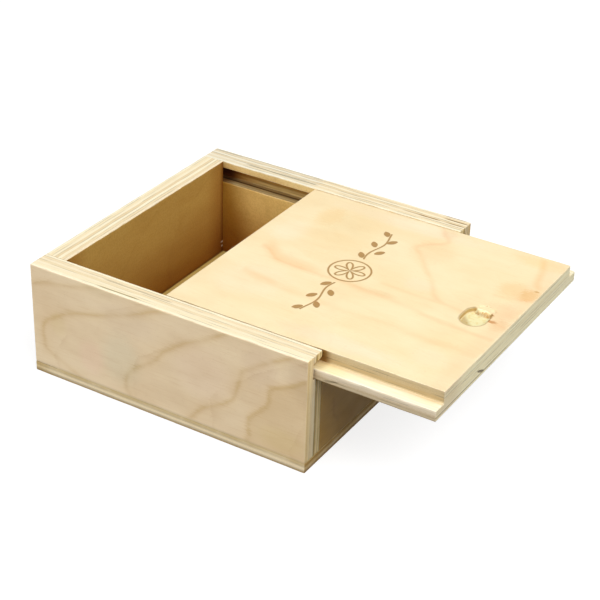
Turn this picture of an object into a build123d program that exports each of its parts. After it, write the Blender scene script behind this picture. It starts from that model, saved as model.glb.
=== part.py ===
"""A small square plywood box with a lid that slides in grooves.

Five boards are glued up into an open box: a base panel, two full-length side walls with a groove along
their inner faces, a back wall between them, and a lower front wall that the lid passes over.  The sixth
board is the lid.  Its long sides are rebated, so that a raised panel lies flush with the wall tops while
a thin tongue on each side runs in the grooves.  The lid stands part way open and draws out towards +X.

The origin is the middle of the base's underside, with +Z up.
"""
import os

from build123d import *

# ---- Driving dimensions, in millimetres ----------------------------------------------------------

# The glued box
box_length = 120.0            # along X, from the back face to the front face
box_width = 122.5             # along Y, over both side walls
side_wall_height = 42.2       # above the base panel
side_wall_thickness = 9.5
back_wall_thickness = 9.5
front_wall_thickness = 9.5
base_thickness = 4.0

# The grooves in the side walls
groove_depth = 5.5            # into the wall, from its inner face
lip_height = 3.0              # wood left above the groove

# The lid
lid_length = 112.0
lid_thickness = 9.0
lid_drawn_out = 44.6          # how far the lid stands out of its shut place
thumb_recess_length = 13.4    # across the lid
thumb_recess_width = 9.6      # along the lid
thumb_recess_depth = 1.8
thumb_recess_floor_radius = 0.8
thumb_recess_setback = 13.0   # from the lid's front end to the middle of the recess
thumb_recess_offset = -2.3    # from the lid's centre line

# Clearances and edges
lid_slide_gap = 0.3           # under the lid, over the groove's lower cheek and the front wall
lid_lip_gap = 1.8             # over the tongue, under the lip
lid_side_gap = 0.4            # beside the raised panel
tongue_side_gap = 0.4         # between the tongue and the bottom of its groove
lid_end_gap = 0.3             # between the shut lid and the back wall
eased_edge = 0.4              # radius of the sanded edges
lip_arris = 1.0               # rounding of the lip's lower edge, where the tongue enters the groove
ledge_arris = 0.5             # rounding of the groove's lower edge, which the lid rides over
tongue_arris = 0.7            # rounding of each tongue's upper edge

# ---- Places that follow from them ----------------------------------------------------------------

back_x = -box_length / 2
outer_y = box_width / 2
inner_y = outer_y - side_wall_thickness
wall_top_z = base_thickness + side_wall_height

lid_underside_z = wall_top_z - lid_thickness
groove_floor_z = lid_underside_z - lid_slide_gap
groove_roof_z = wall_top_z - lip_height

tongue_thickness = lid_thickness - lip_height - lid_lip_gap
panel_half_width = inner_y - lid_side_gap
tongue_half_width = inner_y + groove_depth - tongue_side_gap

lid_back_x = back_x + back_wall_thickness + lid_end_gap + lid_drawn_out
lid_front_x = lid_back_x + lid_length


# ---- Base panel, under all four walls ------------------------------------------------------------

with BuildPart() as base_panel:
    with BuildSketch(Plane.XY):
        Rectangle(box_length, box_width)
    extrude(amount=base_thickness)
    upright_edges = base_panel.edges().filter_by(Axis.Z)
    underside_edges = base_panel.faces().sort_by(Axis.Z)[0].edges()
    fillet(upright_edges + underside_edges, radius=eased_edge)


# ---- Side walls: one grooved section, run the full length and mirrored ---------------------------

with BuildPart() as near_side_wall:
    with BuildSketch(Plane.YZ.offset(back_x)):
        with Locations((-outer_y, base_thickness)):
            Rectangle(side_wall_thickness, side_wall_height, align=(Align.MIN, Align.MIN))
        with Locations((-inner_y, groove_floor_z)):
            Rectangle(
                groove_depth,
                groove_roof_z - groove_floor_z,
                align=(Align.MAX, Align.MIN),
                mode=Mode.SUBTRACT,
            )
    extrude(amount=box_length)
    # the inner face's long edges, from the foot up: foot, ledge, lip's underside, top
    inner_edges = near_side_wall.edges().filter_by(Axis.X).group_by(Axis.Y)[-1].sort_by(Axis.Z)
    ledge_edge, lip_edge, inner_top_edge = inner_edges[1], inner_edges[2], inner_edges[3]
    outer_face = near_side_wall.faces().sort_by(Axis.Y)[0]
    outer_corner_edges = outer_face.edges().filter_by(Axis.Z)
    outer_top_edge = outer_face.edges().filter_by(Axis.X).sort_by(Axis.Z)[-1]
    fillet(outer_corner_edges + [outer_top_edge, inner_top_edge], radius=eased_edge)
    fillet(lip_edge, radius=lip_arris)
    fillet(ledge_edge, radius=ledge_arris)

with BuildPart() as far_side_wall:
    add(near_side_wall.part)
    mirror(about=Plane.XZ, mode=Mode.REPLACE)


# ---- Back wall, between the side walls and as tall as they are -----------------------------------

with BuildPart() as back_wall:
    with BuildSketch(Plane.XY.offset(base_thickness)):
        with Locations((back_x, 0)):
            Rectangle(back_wall_thickness, 2 * inner_y, align=(Align.MIN, Align.CENTER))
    extrude(amount=side_wall_height)
    top_edges = back_wall.faces().sort_by(Axis.Z)[-1].edges().filter_by(Axis.Y)
    fillet(top_edges, radius=eased_edge)


# ---- Front wall, between the side walls and low enough for the lid to pass over it ---------------

with BuildPart() as front_wall:
    with BuildSketch(Plane.XY.offset(base_thickness)):
        with Locations((-back_x, 0)):
            Rectangle(front_wall_thickness, 2 * inner_y, align=(Align.MAX, Align.CENTER))
    extrude(amount=groove_floor_z - base_thickness)
    top_edges = front_wall.faces().sort_by(Axis.Z)[-1].edges().filter_by(Axis.Y)
    fillet(top_edges, radius=eased_edge)


# ---- Lid: a raised panel with a tongue along each side, and a thumb recess near the front --------

with BuildPart() as sliding_lid:
    with BuildSketch(Plane.YZ.offset(lid_back_x)):
        with Locations((0, lid_underside_z)):
            Rectangle(2 * panel_half_width, lid_thickness, align=(Align.CENTER, Align.MIN))
            Rectangle(2 * tongue_half_width, tongue_thickness, align=(Align.CENTER, Align.MIN))
    extrude(amount=lid_length)
    panel_face = sliding_lid.faces().sort_by(Axis.Z)[-1]
    underside_edges = sliding_lid.faces().sort_by(Axis.Z)[0].edges()
    tongue_sides = sliding_lid.faces().filter_by(Axis.Y).group_by(Axis.Y)
    tongue_top_edges = (tongue_sides[0] + tongue_sides[-1]).edges().filter_by(Axis.X).group_by(Axis.Z)[-1]
    fillet(tongue_top_edges, radius=tongue_arris)
    fillet(panel_face.edges() + underside_edges, radius=eased_edge)

    with BuildSketch(Plane.XY.offset(wall_top_z)):
        with Locations((lid_front_x - thumb_recess_setback, thumb_recess_offset)):
            SlotOverall(thumb_recess_length, thumb_recess_width, rotation=90)
    extrude(amount=-thumb_recess_depth, mode=Mode.SUBTRACT)
    recess_floor_z = wall_top_z - thumb_recess_depth
    recess_floor = (
        sliding_lid.faces()
        .filter_by(Axis.Z)
        .filter_by(lambda face: abs(face.center().Z - recess_floor_z) < 0.01)
    )
    fillet(recess_floor.edges(), radius=thumb_recess_floor_radius)


# ---- One STEP file per board ---------------------------------------------------------------------

os.makedirs("parts", exist_ok=True)

boards = {
    "base_panel": base_panel,
    "near_side_wall": near_side_wall,
    "far_side_wall": far_side_wall,
    "back_wall": back_wall,
    "front_wall": front_wall,
    "sliding_lid": sliding_lid,
}
for name, board in boards.items():
    board.part.label = name
    export_step(board.part, f"parts/{name}.step")
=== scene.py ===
import math

import bmesh
import bpy
import numpy as np
from mathutils import Matrix, Vector


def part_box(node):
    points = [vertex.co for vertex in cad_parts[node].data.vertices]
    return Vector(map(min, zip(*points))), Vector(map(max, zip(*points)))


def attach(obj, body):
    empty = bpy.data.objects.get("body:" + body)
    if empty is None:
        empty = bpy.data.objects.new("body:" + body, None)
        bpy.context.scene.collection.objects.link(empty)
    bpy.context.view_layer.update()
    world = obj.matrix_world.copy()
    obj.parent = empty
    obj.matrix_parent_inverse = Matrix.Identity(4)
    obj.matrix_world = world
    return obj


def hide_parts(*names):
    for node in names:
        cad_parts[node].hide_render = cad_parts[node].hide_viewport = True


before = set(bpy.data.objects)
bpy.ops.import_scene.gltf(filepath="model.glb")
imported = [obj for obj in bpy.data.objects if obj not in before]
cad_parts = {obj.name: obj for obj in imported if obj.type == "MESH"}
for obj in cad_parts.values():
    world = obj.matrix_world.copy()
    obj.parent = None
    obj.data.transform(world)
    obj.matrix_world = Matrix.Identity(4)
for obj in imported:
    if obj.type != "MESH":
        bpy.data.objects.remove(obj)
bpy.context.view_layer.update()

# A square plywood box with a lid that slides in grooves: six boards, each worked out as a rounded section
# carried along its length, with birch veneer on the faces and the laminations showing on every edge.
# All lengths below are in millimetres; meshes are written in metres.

MM = 0.001

# ---- Places read from the frame -------------------------------------------------------------------


def corners_of(node):
    """Lowest and highest corner of a board, in millimetres."""
    low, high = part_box(node)
    return np.array(low) / MM, np.array(high) / MM


base_low, base_high = corners_of("base_panel")
near_low, near_high = corners_of("near_side_wall")
far_low, far_high = corners_of("far_side_wall")
back_low, back_high = corners_of("back_wall")
front_low, front_high = corners_of("front_wall")
lid_low, lid_high = corners_of("sliding_lid")

outer_y, inner_y = far_high[1], back_high[1]
wall_foot, wall_top = near_low[2], near_high[2]

# Groove, lip, rebate and thumb recess, as the joinery is cut
groove_depth, lip_height = 5.5, 3.0
tongue_thickness, lid_side_gap = 4.2, 0.4
recess_setback, recess_offset = 13.0, -2.3
recess_half_length, recess_half_width, recess_depth = 6.7, 4.8, 1.8
recess_rim, recess_fillet = 0.2, 0.6

groove_back = inner_y + groove_depth
groove_floor = front_high[2]
groove_roof = wall_top - lip_height
tongue_top = lid_low[2] + tongue_thickness
panel_half_width = inner_y - lid_side_gap
recess_centre = np.array([lid_high[0] - recess_setback, recess_offset])

# ---- Surfaces --------------------------------------------------------------------------------------

# How finely a board is divided: round an arris, along the board, round its section, and at the recess
arc_points = 6
station_pitch, point_pitch, recess_pitch = 1.5, 5.0, 0.5
beside_arc = 0.25             # from the end of a rounding to the next point
end_ring = 0.3                # from an end's rounding in to the ring that keeps its face flat
arris_unevenness, arris_wavelength = 0.3, 14.0


def waver(along, wavelength, seed):
    """A smooth unevenness in -1..1 along a line: the mean of four sine waves of random length and phase."""
    draw = np.random.default_rng(seed)
    lengths = wavelength * draw.uniform(0.5, 2.0, 4)
    phases = draw.uniform(0, 2 * np.pi, 4)
    return np.sin(2 * np.pi * np.asarray(along)[..., None] / lengths + phases).mean(-1)


def spread(start, end, pitch, dense=None, dense_pitch=None):
    """Places from start to end a pitch apart, and closer between the two ends of dense."""
    cuts = [start, end] if dense is None else [start, *dense, end]
    runs = []
    for k, (a, b) in enumerate(zip(cuts[:-1], cuts[1:])):
        step = dense_pitch if dense is not None and k == 1 else pitch
        runs.append(np.linspace(a, b, max(1, round(abs(b - a) / step)) + 1)[:-1])
    return np.append(np.concatenate(runs), end)


def stations(start, end, ease, dense=None):
    """Where the section stands along a board, and how far it is drawn in there.

    At each end the section is drawn in along a quarter circle of radius ease: at angle t it stands
    ease (1 - sin t) from the end, drawn in by ease (1 - cos t).  One more section in the plane of the end
    keeps the rounding from shading the whole end.
    """
    turn = np.linspace(np.pi / 2, 0, arc_points)
    place = np.concatenate([[0.0], ease * (1 - np.sin(turn)), [ease + beside_arc]])
    inset = np.concatenate([[ease + end_ring], ease * (1 - np.cos(turn)), [0.0]])
    first, last = start + ease + beside_arc, end - ease - beside_arc
    middle = spread(first, last, station_pitch, dense, recess_pitch)[1:-1]
    along = np.concatenate([start + place, middle, end - place[::-1]])
    drawn_in = np.concatenate([inset, np.zeros(len(middle)), inset[::-1]])
    return along, drawn_in


def section(corners, radii, drawn_in, dense=None):
    """The rounded section at every station, as (station, point, 2), with how much of an arris each point is.

    A corner C between the edge directions u (arriving) and v (leaving) is moved in by the sum of both edges'
    inward normals times drawn_in, and rounded: at angle t the point is C - r (1 - sin t) u + r (1 - cos t) v.
    Points on the straights between two roundings are a pitch apart, with one close to each rounding.
    dense gives one edge's number and its own list of places, as fractions of its length.
    """
    corners = np.asarray(corners, float)
    leaving = np.roll(corners, -1, 0) - corners
    length = np.linalg.norm(leaving, axis=1)
    leaving = leaving / length[:, None]
    arriving = np.roll(leaving, 1, 0)
    inward = np.stack([-leaving[:, 1], leaving[:, 0]], 1)
    shift = inward + np.roll(inward, 1, 0)
    moved = corners[None] + drawn_in[:, None, None] * shift[None]
    turn = np.linspace(0, np.pi / 2, arc_points)
    rounding = (
        moved[:, :, None]
        - radii[:, :, None, None] * (1 - np.sin(turn))[None, None, :, None] * arriving[None, :, None]
        + radii[:, :, None, None] * (1 - np.cos(turn))[None, None, :, None] * leaving[None, :, None]
    )
    pieces, arris = [], []
    for k in range(len(corners)):
        after = (k + 1) % len(corners)
        straight = length[k] - radii[:, k].mean() - radii[:, after].mean()
        close = min(beside_arc / straight, 0.2)
        if dense is not None and dense[0] == k:
            fractions = np.asarray(dense[1])
        else:
            fractions = np.linspace(close, 1 - close, max(2, round(straight / point_pitch) + 1))
        first, last = rounding[:, k, -1], rounding[:, after, 0]
        pieces += [rounding[:, k], first[:, None] + fractions[None, :, None] * (last - first)[:, None]]
        arris += [np.sin(2 * turn), np.zeros(len(fractions))]
    return np.concatenate(pieces, 1), np.concatenate(arris)


def uneven_radii(radii, along, seed):
    """Each arris's radius at every station: the radius times 1 + 0.3 waver(along)."""
    return np.stack([
        radius * (1 + arris_unevenness * waver(along, arris_wavelength, seed + k))
        for k, radius in enumerate(radii)
    ], 1)


def end_wear(drawn_in, ease):
    """How much of an arris each section is: sin(pi drawn_in / ease), over the rounding of an end."""
    return np.sin(np.pi * np.clip(drawn_in / ease, 0, 1)) * (drawn_in <= ease)


def tube_faces(rings, points):
    """The faces between neighbouring sections, and one flat face over each end."""
    ring, point = np.meshgrid(np.arange(rings - 1), np.arange(points), indexing="ij")
    here, beside = ring * points + point, ring * points + (point + 1) % points
    quads = np.stack([here, beside, beside + points, here + points], -1)
    ends = [list(range(points)), list(range((rings - 1) * points, rings * points))[::-1]]
    return quads, ends


def board(name, body, material, places, faces, marks):
    """A closed board from its places in millimetres, with its marks as attributes; faces point outwards."""
    mesh = bpy.data.meshes.new(name)
    mesh.from_pydata((np.asarray(places) * MM).tolist(), [], faces)
    for label, values in marks.items():
        mesh.attributes.new(label, "FLOAT", "POINT").data.foreach_set("value", np.asarray(values, np.float32))
    shell = bmesh.new()
    shell.from_mesh(mesh)
    bmesh.ops.recalc_face_normals(shell, faces=shell.faces)
    shell.to_mesh(mesh)
    shell.free()
    mesh.shade_smooth()
    mesh.materials.append(material)
    piece = bpy.data.objects.new(name, mesh)
    bpy.context.collection.objects.link(piece)
    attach(piece, body)
    return piece


def carried_board(node, axis, corners, radii, ends, ease, material, seed, slot="plywood_walls"):
    """A board whose section, in the plane across axis, is carried from one end to the other."""
    along, drawn_in = stations(*ends, ease)
    outline, arris = section(corners, uneven_radii(radii, along, seed * 31), drawn_in)
    line = np.broadcast_to(along[:, None], outline.shape[:2])
    first, second = outline[..., 0], outline[..., 1]
    places = np.stack((line, first, second) if axis == "X" else (first, line, second), -1).reshape(-1, 3)
    quads, caps = tube_faces(*outline.shape[:2])
    worn = np.maximum(arris[None], end_wear(drawn_in, ease)[:, None])
    piece = board(node + "_board", "box", material, places, quads.reshape(-1, 4).tolist() + caps,
                  {"arris": worn.ravel()})
    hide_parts(node)


# ---- Shader formulas -------------------------------------------------------------------------------


class Field:
    """A number that changes over a surface, so that a shader's sums are written as plain formulas."""

    def __init__(self, nodes, socket):
        self.nodes, self.socket = nodes, socket

    def do(self, operation, *others, clamp=False, before=False):
        terms = [*others, self] if before else [self, *others]
        node = self.nodes.add("ShaderNodeMath", operation=operation, use_clamp=clamp)
        for place, term in zip(node.inputs, terms):
            self.nodes.feed(place, term)
        return Field(self.nodes, node.outputs[0])

    def __add__(self, other): return self.do("ADD", other)
    def __radd__(self, other): return self.do("ADD", other)
    def __sub__(self, other): return self.do("SUBTRACT", other)
    def __rsub__(self, other): return self.do("SUBTRACT", other, before=True)
    def __mul__(self, other): return self.do("MULTIPLY", other)
    def __rmul__(self, other): return self.do("MULTIPLY", other)
    def __truediv__(self, other): return self.do("DIVIDE", other)
    def __pow__(self, other): return self.do("POWER", other)
    def __abs__(self): return self.do("ABSOLUTE")
    def floor(self): return self.do("FLOOR")
    def fract(self): return self.do("FRACT")
    def root(self): return self.do("SQRT")
    def sine(self): return self.do("SINE")
    def cosine(self): return self.do("COSINE")
    def least(self, other): return self.do("MINIMUM", other)
    def most(self, other): return self.do("MAXIMUM", other)
    def clip(self): return self.do("ADD", 0.0, clamp=True)

    def ease(self, start, end):
        """0 at start, 1 at end, and a smooth step between them, whichever is the larger."""
        falls = end < start
        low, high = min(start, end), max(start, end)
        node = self.nodes.add("ShaderNodeMapRange", interpolation_type="SMOOTHSTEP")
        for place, term in zip(node.inputs, (self, low, high, float(falls), float(not falls))):
            self.nodes.feed(place, term)
        return Field(self.nodes, node.outputs[0])

    def between(self, start, full, last, end):
        """0 up to start, 1 from full to last, and 0 again past end."""
        return self.ease(start, full) * self.ease(end, last)


class Nodes:
    """Writes nodes into a shader tree."""

    def __init__(self, tree):
        self.tree = tree

    def add(self, kind, **settings):
        node = self.tree.nodes.new(kind)
        for name, value in settings.items():
            setattr(node, name, value)
        return node

    def feed(self, place, value):
        """Links a field or socket to a place, or writes a plain value there."""
        value = value.socket if isinstance(value, Field) else value
        if isinstance(value, bpy.types.NodeSocket):
            self.tree.links.new(value, place)
        else:
            place.default_value = value

    def place(self):
        """The object's own coordinates in millimetres, as three fields."""
        scaled = self.add("ShaderNodeVectorMath", operation="SCALE")
        self.feed(scaled.inputs[0], self.add("ShaderNodeTexCoord").outputs["Object"])
        scaled.inputs["Scale"].default_value = 1000.0
        return self.split(scaled.outputs[0])

    def split(self, vector):
        node = self.add("ShaderNodeSeparateXYZ")
        self.feed(node.inputs[0], vector)
        return [Field(self, socket) for socket in node.outputs]

    def facing(self):
        """The surface's own direction, as three fields."""
        return self.split(self.add("ShaderNodeTexCoord").outputs["Normal"])

    def vector(self, x, y, z):
        node = self.add("ShaderNodeCombineXYZ")
        for place, value in zip(node.inputs, (x, y, z)):
            self.feed(place, value)
        return node.outputs[0]

    def noise(self, x, y, z, detail=2.0, roughness=0.5):
        """Soft noise in 0..1, about one blob to a unit."""
        node = self.add("ShaderNodeTexNoise")
        self.feed(node.inputs["Vector"], self.vector(x, y, z))
        node.inputs["Scale"].default_value = 1.0
        node.inputs["Detail"].default_value = detail
        node.inputs["Roughness"].default_value = roughness
        return Field(self, node.outputs[0])

    def speck(self, x, y):
        """A number in 0..1 that is constant in each unit cell."""
        node = self.add("ShaderNodeTexWhiteNoise", noise_dimensions="2D")
        self.feed(node.inputs["Vector"], self.vector(x, y, 0.0))
        return Field(self, node.outputs["Value"])

    def mark(self, name):
        """An attribute of the mesh."""
        return Field(self, self.add("ShaderNodeAttribute", attribute_name=name).outputs["Fac"])

    def mix(self, share, first, second, blend="MIX"):
        """The first colour, going over to the second."""
        node = self.add("ShaderNodeMix", data_type="RGBA", blend_type=blend)
        self.feed(node.inputs[0], share)
        self.feed(node.inputs[6], first)
        self.feed(node.inputs[7], second)
        return node.outputs[2]

    def use(self, group, **values):
        """Places a node group with its own values; gives its outputs by name."""
        node = self.add("ShaderNodeGroup", node_tree=group)
        for name, value in values.items():
            self.feed(node.inputs[name.replace("_", " ")], value)
        return {socket.name: Field(self, socket) for socket in node.outputs}

    def shader(self, kind, **values):
        """Places a shader or an output with its own values; gives what comes out of a shader."""
        node = self.add(kind)
        for name, value in values.items():
            self.feed(node.inputs[name.replace("_", " ")], value)
        return node.outputs[0] if node.outputs else None


def shader_group(name, inputs, outputs, recipe):
    """A node group with named number inputs and outputs, filled in by its recipe."""
    tree = bpy.data.node_groups.new(name, "ShaderNodeTree")
    for label, value in inputs.items():
        socket = tree.interface.new_socket(name=label, in_out="INPUT", socket_type="NodeSocketFloat")
        socket.default_value = value
    for label in outputs:
        tree.interface.new_socket(name=label, in_out="OUTPUT", socket_type="NodeSocketFloat")
    nodes = Nodes(tree)
    given = nodes.add("NodeGroupInput")
    results = recipe(nodes, {socket.name: Field(nodes, socket) for socket in given.outputs if socket.name})
    leaves = nodes.add("NodeGroupOutput")
    for label, value in zip(outputs, results):
        nodes.feed(leaves.inputs[label], value)
    return tree


def arches_recipe(nodes, given):
    """Nested arches with their noses on one line: level = grain - bow (across - axis)^2."""
    off_axis = given["Across"] - given["Axis"]
    return given["Grain"] - given["Bow"] * off_axis * off_axis,


nested_arches = shader_group(
    "nested arches", {"Grain": 0, "Across": 0, "Axis": 0, "Bow": 0.04}, ["Level"], arches_recipe
)


def veneer_recipe(nodes, given):
    """Growth rings of a peeled veneer are the levels of the arches, a spacing apart, shifted by a slow
    wander; fibre noise feathers them along the grain, and they fade in patches."""
    grain, across, seed = given["Grain"], given["Across"], given["Seed"]
    wander = nodes.noise(grain / 26, across / 13, seed) - 0.5
    fibre = nodes.noise(grain / 8, across / 0.42, seed + 3, 3.0, 0.6)
    level = given["Level"] + wander * given["Wander"] + (fibre - 0.5) * given["Feather"]
    after = ((level - given["Start"]) / given["Spacing"]).fract() * given["Spacing"]
    nearest = after.least(given["Spacing"] - after)
    fade = nodes.noise(grain / 24, across / 10, seed + 11).ease(0.36, 0.60)
    line = (1 - nearest / given["Line Width"]).clip()
    line = line * (0.45 + line * 0.55)
    halo = (1 - after / (given["Line Width"] * given["Halo"])).clip()
    tone = nodes.noise(grain / 42, across / 17, seed + 7, 3.0, 0.55)
    streak = nodes.noise(grain / 16, across / 0.9, seed + 5, 3.0, 0.6)
    pores = nodes.noise(grain / 1.5, across / 0.17, seed + 9, 1.0).ease(0.66, 0.76)
    return line * (fade * 0.8 + 0.2), halo * halo * fade, tone, fibre, streak, pores


veneer_figure = shader_group(
    "birch veneer figure",
    {"Grain": 0, "Across": 0, "Level": 0, "Spacing": 30, "Start": 0, "Wander": 10, "Feather": 3,
     "Line Width": 1.5, "Halo": 5, "Seed": 0},
    ["Ring", "Halo", "Tone", "Fibre", "Streak", "Pores"],
    veneer_recipe,
)


def plies_recipe(nodes, given):
    """Ply number = floor(depth x plies); every second ply is crossed, and a glue line lies where the
    depth in plies is a whole number."""
    along, beside, seed = given["Along"], given["Beside"], given["Seed"]
    wobble = nodes.noise(along / 14, beside / 6, seed) - 0.5
    level = given["Depth"] * given["Plies"] + wobble * 0.45
    number = level.floor()
    part = level.fract()
    crossed = (number / 2).fract() * 2
    seam = part.least(1 - part)
    broken = nodes.noise(along / 17, (level + 0.5).floor() * 3.7, seed + 4).ease(0.42, 0.60)
    glue = seam.ease(0.16, 0.03) * broken
    tone = nodes.speck(number + 0.5, seed)
    centre = (1 - abs(number - (given["Plies"] - 1) / 2)).clip()
    long_grain = nodes.noise(along / 9, level * 5, beside / 0.5, 3.0, 0.6)
    end_grain = nodes.noise(along / 0.35, level * 4, beside / 0.35, 2.0, 0.6)
    return crossed, glue, tone, centre, long_grain, end_grain


plywood_layers = shader_group(
    "plywood layers",
    {"Depth": 0, "Along": 0, "Beside": 0, "Plies": 7, "Seed": 0},
    ["Crossed", "Glue", "Tone", "Centre", "Long Grain", "End Grain"],
    plies_recipe,
)


def patch_recipe(nodes, given):
    """1 in the middle of an oval mark and 0 past its edge, with an edge broken by noise."""
    broken = (nodes.noise(given["Grain"] / 1.6, given["Across"] / 0.5, 2.0) - 0.5) * given["Broken"]
    u = (given["Grain"] - given["At Grain"]) / given["Length"] * 2
    v = (given["Across"] - given["At Across"]) / given["Width"] * 2
    return ((u * u + v * v).root() + broken).ease(1.0, 0.35),


oval_mark = shader_group(
    "oval mark",
    {"Grain": 0, "Across": 0, "At Grain": 0, "At Across": 0, "Length": 4, "Width": 1, "Broken": 0.6},
    ["Mask"],
    patch_recipe,
)


def course_recipe(nodes, given):
    """A growth ring along its course, from the course beside a place and 1 mm further on: the distance to it
    is (place - course) / sqrt(1 + (further on - course)^2), ragged with the fibre.  The line is crisp, with a
    faint shade over the halo width on both sides."""
    slope = given["Further On"] - given["Course"]
    ragged = (given["Fibre"] - 0.5) * given["Feather"]
    off = abs(given["Place"] + ragged - given["Course"]) / (slope * slope + 1.0).root()
    line = (1 - off / given["Width"]).clip()
    halo = (1 - off / (given["Width"] * 4.0)).clip()
    return line * 0.85 + halo * halo * 0.3,


ring_course = shader_group(
    "growth ring along a course",
    {"Place": 0, "Course": 0, "Further On": 0, "Fibre": 0.5, "Feather": 1, "Width": 1},
    ["Mask"],
    course_recipe,
)


def wear_recipe(nodes, given):
    """Sanded arrises are paler in broken stretches; handling leaves a soft grey bloom in patches, and a fine
    grit lies over everything."""
    rub, bloom, grit = (
        nodes.noise(given["X"] / size, given["Y"] / size, given["Z"] / size, detail, 0.6)
        for size, detail in ((5, 3.0), (26, 3.0), (0.8, 2.0))
    )
    return given["Arris"] * rub.ease(0.30, 0.62), bloom.ease(0.46, 0.74), grit


edge_wear = shader_group(
    "edge wear and handling", {"X": 0, "Y": 0, "Z": 0, "Arris": 0}, ["Rubbed", "Bloom", "Grit"], wear_recipe
)


# ---- Materials -------------------------------------------------------------------------------------


def shade(red, green, blue):
    """A colour written as sRGB bytes, as the linear colour that a shader takes."""
    value = np.array([red, green, blue]) / 255
    linear = np.where(value <= 0.04045, value / 12.92, ((value + 0.055) / 1.055) ** 2.4)
    return (*linear.tolist(), 1.0)


class Plywood:
    """A board's material: veneer on its two faces, laminations on its edges, with the grain along one axis.

    axes names the axes along the grain, across it and through the board, and depth gives the places of the
    board's two faces on the last.  Colours are sRGB bytes.
    """

    def __init__(self, name, axes, depth, plies, seed, face, edge, arches, figure, strength, inner_face=None):
        self.material = bpy.data.materials.new(name)
        self.material.use_nodes = True
        self.material.node_tree.nodes.clear()
        nodes = self.nodes = Nodes(self.material.node_tree)
        face, edge = ({part: shade(*tint) for part, tint in table.items()} for table in (face, edge))
        self.x, self.y, self.z = nodes.place()
        place = {"X": self.x, "Y": self.y, "Z": self.z}
        facing = dict(zip("XYZ", nodes.facing()))
        grain, across, through = (place[letter] for letter in axes)
        self.grain, self.across = grain, across
        self.level = (through - depth[0]) / (depth[1] - depth[0])
        self.end_on = abs(facing[axes[0]]).ease(0.55, 0.8)
        self.flat_on = abs(facing[axes[2]]).ease(0.6, 0.85)
        flank_on = abs(facing[axes[1]]).ease(0.6, 0.85)
        skin = 1.0 / plies
        self.veneered = self.flat_on * abs(self.level - 0.5).ease(0.5 - skin, 0.5 - skin * 0.4)

        nest = nodes.use(nested_arches, Grain=grain, Across=across, **arches)["Level"]
        rings = nodes.use(veneer_figure, Grain=grain, Across=across, Level=nest, Seed=float(seed), **figure)
        layers = nodes.use(plywood_layers, Depth=self.level, Along=grain + across * self.end_on, Beside=across,
                           Plies=float(plies), Seed=float(seed))
        wear = nodes.use(edge_wear, X=self.x, Y=self.y, Z=self.z, Arris=nodes.mark("arris"))
        self.rings, self.wear = rings, wear
        butt = layers["Crossed"] * (1 - self.end_on) + (1 - layers["Crossed"]) * self.end_on

        lamination = self.laminated(layers, butt, flank_on, edge, strength)
        colour = nodes.mix(self.veneered, lamination, self.figured(face, strength, inner_face))
        colour = nodes.mix(wear["Rubbed"] * 0.35, colour, edge["rubbed"])
        self.colour = nodes.mix(wear["Bloom"] * 0.25, colour, shade(238, 232, 226), "MULTIPLY")
        on_face = rings["Fibre"] * 0.035 + rings["Ring"] * 0.02 - rings["Pores"] * 0.05
        on_edge = layers["End Grain"] * 0.05 * butt - layers["Glue"] * 0.05 + layers["Long Grain"] * 0.03
        self.height = self.veneered * on_face + (1 - self.veneered) * on_edge + wear["Grit"] * 0.012
        self.roughness = (
            0.52 + rings["Fibre"] * 0.12 + wear["Bloom"] * 0.08 + butt * (1 - self.veneered) * 0.12
        )

    def tinted(self, colour, *layers):
        """The colour multiplied by each layer's own colour, where that layer's mask is 1."""
        for mask, tint in layers:
            colour = self.nodes.mix(mask, colour, tint, "MULTIPLY")
        return colour

    def figured(self, face, strength, inner_face):
        """A veneered face: two tones and the figure over them, plainer on the inner side, where a tint is
        painted shade of the box's inside.
        """
        rings, shown = self.rings, 1.0
        if inner_face:
            inner = self.level.ease(0.45, 0.55)
            shown = 1 - inner * inner_face["plain"]
        colour = self.tinted(
            self.nodes.mix(rings["Tone"].ease(0.34, 0.66), face["light"], face["dark"]),
            (rings["Halo"] * strength["halo"] * shown, face["halo"]),
            (rings["Ring"] * strength["ring"] * shown, face["ring"]),
            (rings["Fibre"].ease(0.5, 0.8) * strength["fibre"], face["fibre"]),
            (rings["Streak"].ease(0.5, 0.75) * strength["streak"], face["streak"]),
            (rings["Pores"] * strength["pores"], face["pore"]),
        )
        return self.tinted(colour, (inner, shade(*inner_face["tint"]))) if inner_face else colour

    def laminated(self, layers, butt, flank_on, edge, strength):
        """An edge: plies in two tones with their grain and glue lines, and the routed floor of a cut."""
        colour = self.tinted(
            self.nodes.mix(layers["Tone"], edge["light"], edge["dark"]),
            (butt * strength["butt"], edge["butt"]),
            (layers["Centre"] * strength["centre"], edge["centre"]),
            (layers["Long Grain"].ease(0.45, 0.75) * (1 - butt) * 0.5, edge["grain"]),
            (layers["End Grain"].ease(0.45, 0.7) * butt * 0.7, edge["grain"]),
        )
        colour = self.nodes.mix(layers["Glue"] * strength["glue"], colour, edge["glue"])
        colour = self.tinted(colour, (flank_on, edge["flank"]), (self.end_on, edge["end"]))
        routed = self.nodes.mix(self.rings["Streak"].ease(0.35, 0.7), edge["routed"], edge["routed grain"])
        return self.nodes.mix(self.flat_on, colour, routed)

    def stain(self, mask, tint, blend="MULTIPLY"):
        """Lays a colour over the board where the mask is 1."""
        self.colour = self.nodes.mix(mask, self.colour, shade(*tint), blend)

    def spot(self, across_place, along_place, length, width, broken=0.6):
        """An oval mark centred at a place on a veneered face."""
        return self.nodes.use(oval_mark, Grain=self.grain, Across=self.across, At_Grain=along_place,
                              At_Across=across_place, Length=length, Width=width, Broken=broken)["Mask"]

    def stain_spots(self, where, broken, spots):
        """Stains oval marks, given as (place across, place along, length, width, colour)."""
        for *spot, tint in spots:
            self.stain(self.spot(*spot, broken) * where, tint)

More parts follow.
